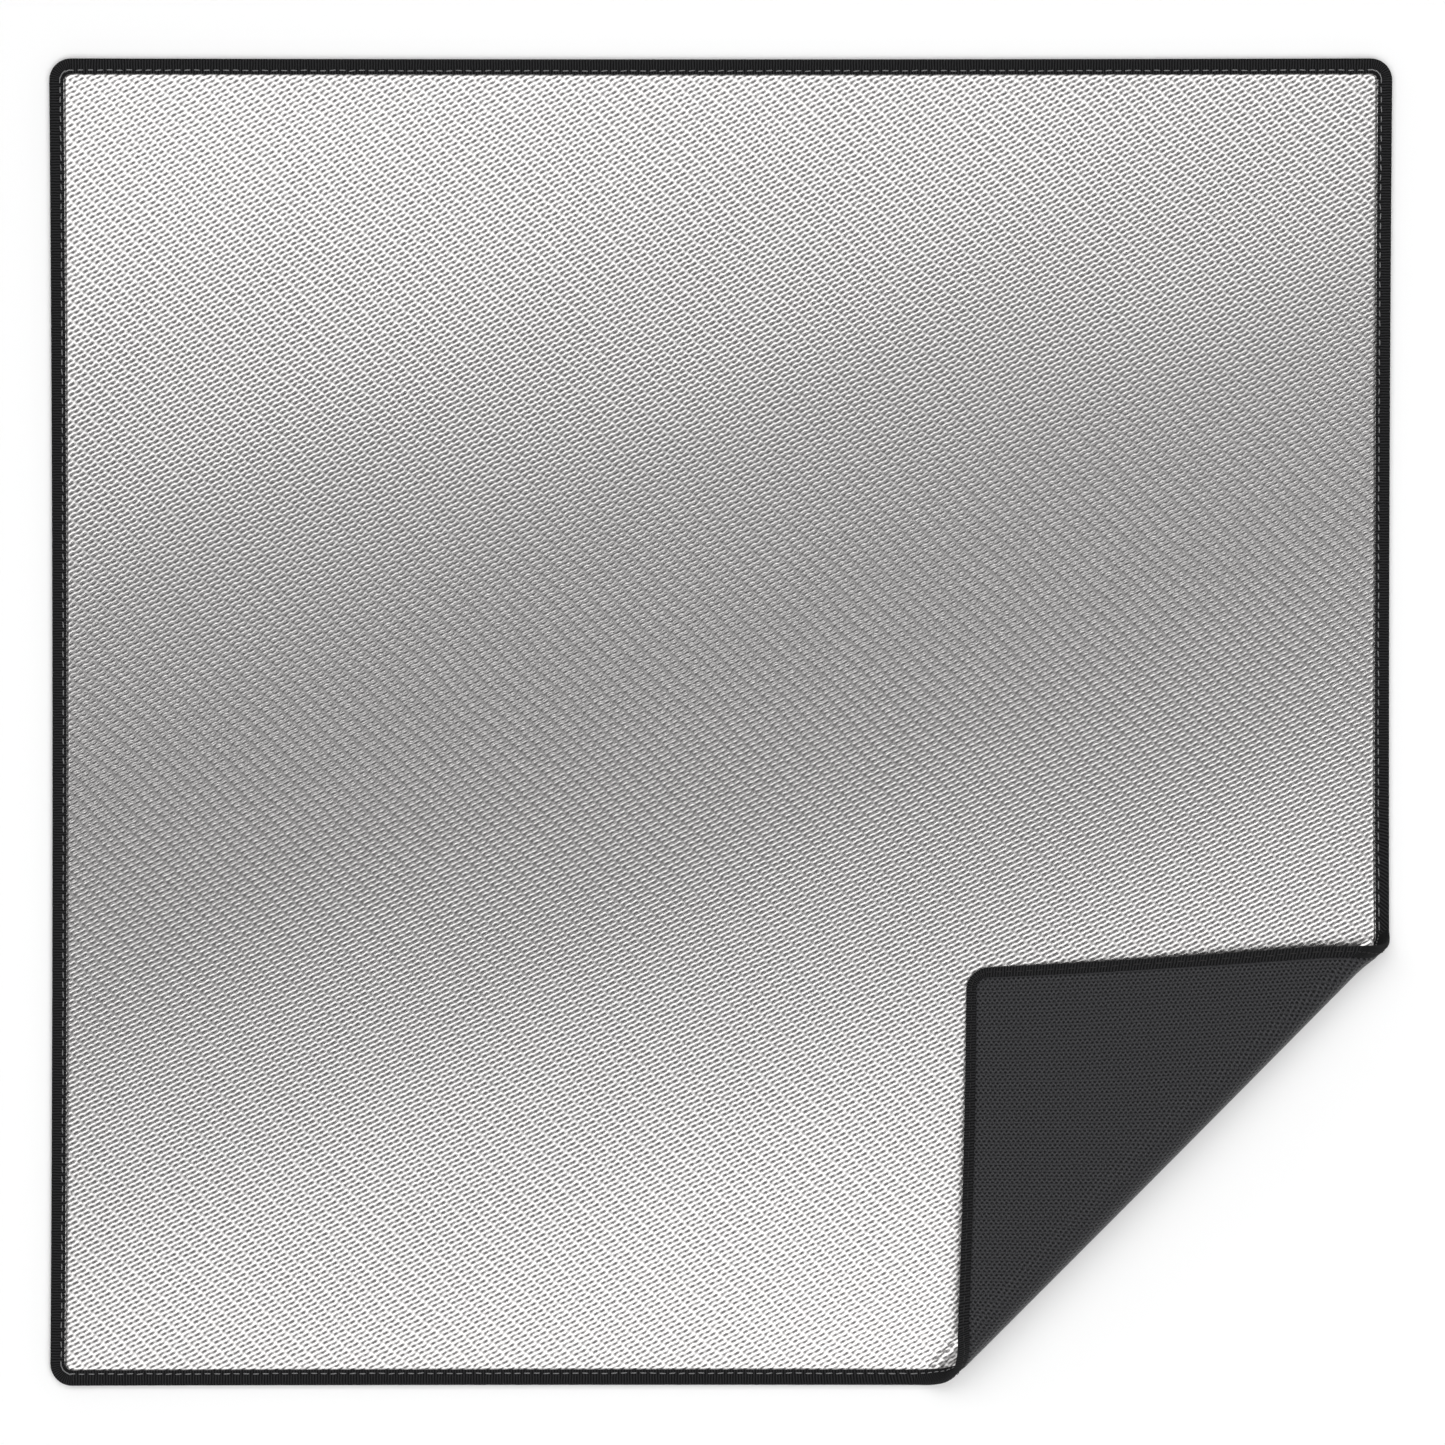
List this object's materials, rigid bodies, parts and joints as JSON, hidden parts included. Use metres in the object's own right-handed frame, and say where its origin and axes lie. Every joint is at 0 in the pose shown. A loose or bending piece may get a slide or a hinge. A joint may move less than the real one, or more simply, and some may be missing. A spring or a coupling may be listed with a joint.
{
  "type": "foam ground mat",
  "caption": "Thin square foam ground mat with a foil-coated woven face, dark textured backing and bound edge, a corner turned back over the face.",
  "frame": {"origin": "centre of the whole mat, on the surface it lies on", "axes": "+Z up from the underside to the foil face, +X across the mat and +Y up it; the turned-back corner is at +X, -Y"},
  "size_m": [0.9143, 0.9043, 0.0455],
  "materials": {
    "foil_cloth": "satin",
    "foam": "matte",
    "backing_cloth": "satin",
    "binding_tape": "matte",
    "grey_thread": "satin",
    "black_thread": "satin"
  },
  "bodies": {
    "mat": {"mat_face_cloth": "foil_cloth", "mat_foam_core": "foam", "mat_backing": "backing_cloth", "mat_binding": "binding_tape", "mat_top_stitching": "grey_thread", "mat_back_stitching": "black_thread"},
    "fold_1": {"fold_1_face_cloth": "foil_cloth", "fold_1_foam_core": "foam", "fold_1_backing": "backing_cloth", "fold_1_binding_right": "binding_tape", "fold_1_binding_near": "binding_tape", "fold_1_top_stitching_right": "grey_thread", "fold_1_top_stitching_near": "grey_thread", "fold_1_back_stitching_right": "black_thread", "fold_1_back_stitching_near": "black_thread"},
    "fold_2": {"fold_2_face_cloth": "foil_cloth", "fold_2_foam_core": "foam", "fold_2_backing": "backing_cloth", "fold_2_binding_right": "binding_tape", "fold_2_binding_near": "binding_tape", "fold_2_top_stitching_right": "grey_thread", "fold_2_top_stitching_near": "grey_thread", "fold_2_back_stitching_right": "black_thread", "fold_2_back_stitching_near": "black_thread"},
    "fold_3": {"fold_3_face_cloth": "foil_cloth", "fold_3_foam_core": "foam", "fold_3_backing": "backing_cloth", "fold_3_binding_right": "binding_tape", "fold_3_binding_near": "binding_tape", "fold_3_top_stitching_right": "grey_thread", "fold_3_top_stitching_near": "grey_thread", "fold_3_back_stitching_right": "black_thread", "fold_3_back_stitching_near": "black_thread"},
    "fold_4": {"fold_4_face_cloth": "foil_cloth", "fold_4_foam_core": "foam", "fold_4_backing": "backing_cloth", "fold_4_binding_right": "binding_tape", "fold_4_binding_near": "binding_tape", "fold_4_top_stitching_right": "grey_thread", "fold_4_top_stitching_near": "grey_thread", "fold_4_back_stitching_right": "black_thread", "fold_4_back_stitching_near": "black_thread"},
    "fold_5": {"fold_5_face_cloth": "foil_cloth", "fold_5_foam_core": "foam", "fold_5_backing": "backing_cloth", "fold_5_binding_right": "binding_tape", "fold_5_binding_near": "binding_tape", "fold_5_top_stitching_right": "grey_thread", "fold_5_top_stitching_near": "grey_thread", "fold_5_back_stitching_right": "black_thread", "fold_5_back_stitching_near": "black_thread"},
    "flap": {"flap_face_cloth": "foil_cloth", "flap_foam_core": "foam", "flap_backing": "backing_cloth", "flap_binding": "binding_tape", "flap_top_stitching": "grey_thread", "flap_back_stitching": "black_thread"}
  },
  "joints": [
    {"name": "fold_line_1", "type": "hinge", "parent": "mat", "child": "fold_1", "pos_m": [0.29034, -0.29034, 0.0024], "axis": [0.7071, 0.7071, 0], "range_deg": [0, 32.08]},
    {"name": "fold_line_2", "type": "hinge", "parent": "fold_1", "child": "fold_2", "pos_m": [0.29723, -0.29723, 0.00851], "axis": [0.7071, 0.7071, 0], "range_deg": [0, 32.08]},
    {"name": "fold_line_3", "type": "hinge", "parent": "fold_2", "child": "fold_3", "pos_m": [0.30077, -0.30077, 0.01886], "axis": [0.7071, 0.7071, 0], "range_deg": [0, 32.08]},
    {"name": "fold_line_4", "type": "hinge", "parent": "fold_3", "child": "fold_4", "pos_m": [0.29989, -0.29989, 0.03029], "axis": [0.7071, 0.7071, 0], "range_deg": [0, 32.08]},
    {"name": "fold_line_5", "type": "hinge", "parent": "fold_4", "child": "fold_5", "pos_m": [0.29485, -0.29485, 0.03931], "axis": [0.7071, 0.7071, 0], "range_deg": [0, 32.08]},
    {"name": "fold_line_6", "type": "hinge", "parent": "fold_5", "child": "flap", "pos_m": [0.28719, -0.28719, 0.04317], "axis": [0.7071, 0.7071, 0], "range_deg": [0, 32.08]}
  ],
  "couplings": [
    {"joint": "fold_line_2", "follows": "fold_line_1", "ratio": 1},
    {"joint": "fold_line_3", "follows": "fold_line_1", "ratio": 1},
    {"joint": "fold_line_4", "follows": "fold_line_1", "ratio": 1},
    {"joint": "fold_line_5", "follows": "fold_line_1", "ratio": 1},
    {"joint": "fold_line_6", "follows": "fold_line_1", "ratio": 1}
  ]
}
